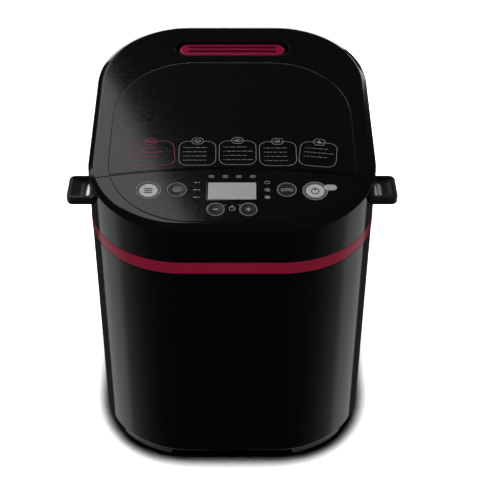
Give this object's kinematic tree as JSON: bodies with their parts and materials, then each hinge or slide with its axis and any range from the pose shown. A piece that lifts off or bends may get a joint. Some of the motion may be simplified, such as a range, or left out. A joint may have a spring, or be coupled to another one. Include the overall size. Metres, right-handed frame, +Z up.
{
  "type": "bread machine",
  "caption": "Countertop bread machine with a sloping top, hinged lid, control deck with display and keys, side grips, and a belt-driven kneading pan in a heated chamber.",
  "frame": {"origin": "middle of the footprint, on the standing surface", "axes": "+Z up, the control deck and front face -Y, +X to the right as seen from the front"},
  "size_m": [0.292, 0.28, 0.3266],
  "materials": {
    "corner_feet": "satin",
    "foot_pads": "matte",
    "base_tray": "fine texture",
    "lower_housing": "high gloss",
    "trim_band": "metallic gloss",
    "upper_housing": "high gloss",
    "control_overlay": "gloss film",
    "button_bezels": "satin",
    "display_window": "clear",
    "lcd_module": "matte",
    "indicator_light": "translucent",
    "control_board": "solder mask",
    "power_board": "solder mask",
    "left_grip": "gloss",
    "right_grip": "gloss",
    "oven_chamber": "brushed",
    "heating_element": "oxidised",
    "temperature_sensor": "matte",
    "thermal_fuse": "matte",
    "pan_seat": "pressed",
    "chassis_plate": "zinc plated",
    "chassis_screws": "zinc plated",
    "motor_frame": "satin",
    "motor_stator": "enamelled copper",
    "motor_mounts": "matte",
    "run_capacitor": "satin",
    "bearing_housing": "die cast",
    "drive_bearings": "sintered",
    "drive_belt": "matte",
    "hinge_pins": "ground",
    "cord_gland": "matte",
    "lid_cover": "high gloss",
    "lid_panel": "high gloss",
    "vent_grille": "metallic gloss",
    "lid_inner_frame": "satin",
    "lid_liner": "brushed",
    "lid_seal": "silicone",
    "lid_screws": "zinc plated",
    "bread_pan": "non-stick coating",
    "pan_ears": "non-stick coating",
    "pan_base": "die cast",
    "pan_bearing": "sintered",
    "pan_seal": "silicone",
    "pan_handle": "bright wire",
    "pan_shaft": "ground",
    "pan_coupling": "sintered steel",
    "kneading_paddle": "non-stick coating",
    "drive_shaft": "ground",
    "drive_coupling": "sintered steel",
    "large_pulley": "moulded",
    "motor_rotor": "laminated steel",
    "motor_shaft": "ground",
    "small_pulley": "turned",
    "cooling_fan": "moulded",
    "menu_button": "satin silver",
    "loaf_button": "gloss",
    "minus_button": "gloss",
    "plus_button": "gloss",
    "crust_button": "gloss",
    "start_button": "satin silver"
  },
  "bodies": {
    "housing": {"corner_feet": "corner_feet", "foot_pads": "foot_pads", "base_tray": "base_tray", "lower_housing": "lower_housing", "trim_band": "trim_band", "upper_housing": "upper_housing", "control_overlay": "control_overlay", "button_bezels": "button_bezels", "display_window": "display_window", "lcd_module": "lcd_module", "indicator_light": "indicator_light", "control_board": "control_board", "power_board": "power_board", "left_grip": "left_grip", "right_grip": "right_grip", "oven_chamber": "oven_chamber", "heating_element": "heating_element", "temperature_sensor": "temperature_sensor", "thermal_fuse": "thermal_fuse", "pan_seat": "pan_seat", "chassis_plate": "chassis_plate", "chassis_screws": "chassis_screws", "motor_frame": "motor_frame", "motor_stator": "motor_stator", "motor_mounts": "motor_mounts", "run_capacitor": "run_capacitor", "bearing_housing": "bearing_housing", "drive_bearings": "drive_bearings", "drive_belt": "drive_belt", "hinge_pins": "hinge_pins", "cord_gland": "cord_gland"},
    "lid": {"lid_cover": "lid_cover", "lid_panel": "lid_panel", "vent_grille": "vent_grille", "lid_inner_frame": "lid_inner_frame", "lid_liner": "lid_liner", "lid_seal": "lid_seal", "lid_screws": "lid_screws"},
    "pan": {"bread_pan": "bread_pan", "pan_ears": "pan_ears", "pan_base": "pan_base", "pan_bearing": "pan_bearing", "pan_seal": "pan_seal"},
    "bail": {"pan_handle": "pan_handle"},
    "paddle_shaft": {"pan_shaft": "pan_shaft", "pan_coupling": "pan_coupling"},
    "paddle": {"kneading_paddle": "kneading_paddle"},
    "drive": {"drive_shaft": "drive_shaft", "drive_coupling": "drive_coupling", "large_pulley": "large_pulley"},
    "rotor": {"motor_rotor": "motor_rotor", "motor_shaft": "motor_shaft", "small_pulley": "small_pulley", "cooling_fan": "cooling_fan"},
    "menu_key": {"menu_button": "menu_button"},
    "loaf_key": {"loaf_button": "loaf_button"},
    "minus_key": {"minus_button": "minus_button"},
    "plus_key": {"plus_button": "plus_button"},
    "crust_key": {"crust_button": "crust_button"},
    "start_key": {"start_button": "start_button"}
  },
  "joints": [
    {"name": "lid_hinge", "type": "hinge", "parent": "housing", "child": "lid", "pos_m": [0, 0.136, 0.3067], "axis": [-1, 0, 0], "range_deg": [0, 80]},
    {"name": "pan_lift", "type": "slide", "parent": "housing", "child": "pan", "axis": [0, 0, 1], "range_m": [0, 0.008]},
    {"name": "bail_swing", "type": "hinge", "parent": "pan", "child": "bail", "pos_m": [0, 0.021, 0.232], "axis": [1, 0, 0], "range_deg": [0, 180]},
    {"name": "paddle_shaft_spin", "type": "hinge", "parent": "pan", "child": "paddle_shaft", "pos_m": [0, 0.021, 0.1], "axis": [0, 0, 1], "continuous": true},
    {"name": "paddle_lift", "type": "slide", "parent": "paddle_shaft", "child": "paddle", "axis": [0, 0, 1], "range_m": [0, 0.03]},
    {"name": "drive_spin", "type": "hinge", "parent": "housing", "child": "drive", "pos_m": [0, 0.021, 0.05], "axis": [0, 0, 1], "continuous": true},
    {"name": "rotor_spin", "type": "hinge", "parent": "housing", "child": "rotor", "pos_m": [0, -0.098, 0.05], "axis": [0, 0, 1], "continuous": true},
    {"name": "menu_press", "type": "slide", "parent": "housing", "child": "menu_key", "axis": [0, 0.1599, -0.9871], "range_m": [0, 0.0008], "stiffness_N_per_m": 400},
    {"name": "loaf_press", "type": "slide", "parent": "housing", "child": "loaf_key", "axis": [0, 0.1599, -0.9871], "range_m": [0, 0.0008], "stiffness_N_per_m": 400},
    {"name": "minus_press", "type": "slide", "parent": "housing", "child": "minus_key", "axis": [0, 0.1599, -0.9871], "range_m": [0, 0.0008], "stiffness_N_per_m": 400},
    {"name": "plus_press", "type": "slide", "parent": "housing", "child": "plus_key", "axis": [0, 0.1599, -0.9871], "range_m": [0, 0.0008], "stiffness_N_per_m": 400},
    {"name": "crust_press", "type": "slide", "parent": "housing", "child": "crust_key", "axis": [0, 0.1599, -0.9871], "range_m": [0, 0.0008], "stiffness_N_per_m": 400},
    {"name": "start_press", "type": "slide", "parent": "housing", "child": "start_key", "axis": [0, 0.1599, -0.9871], "range_m": [0, 0.0008], "stiffness_N_per_m": 400}
  ],
  "couplings": [
    {"joint": "paddle_shaft_spin", "follows": "drive_spin", "ratio": 1},
    {"joint": "rotor_spin", "follows": "drive_spin", "ratio": 4.8889}
  ]
}
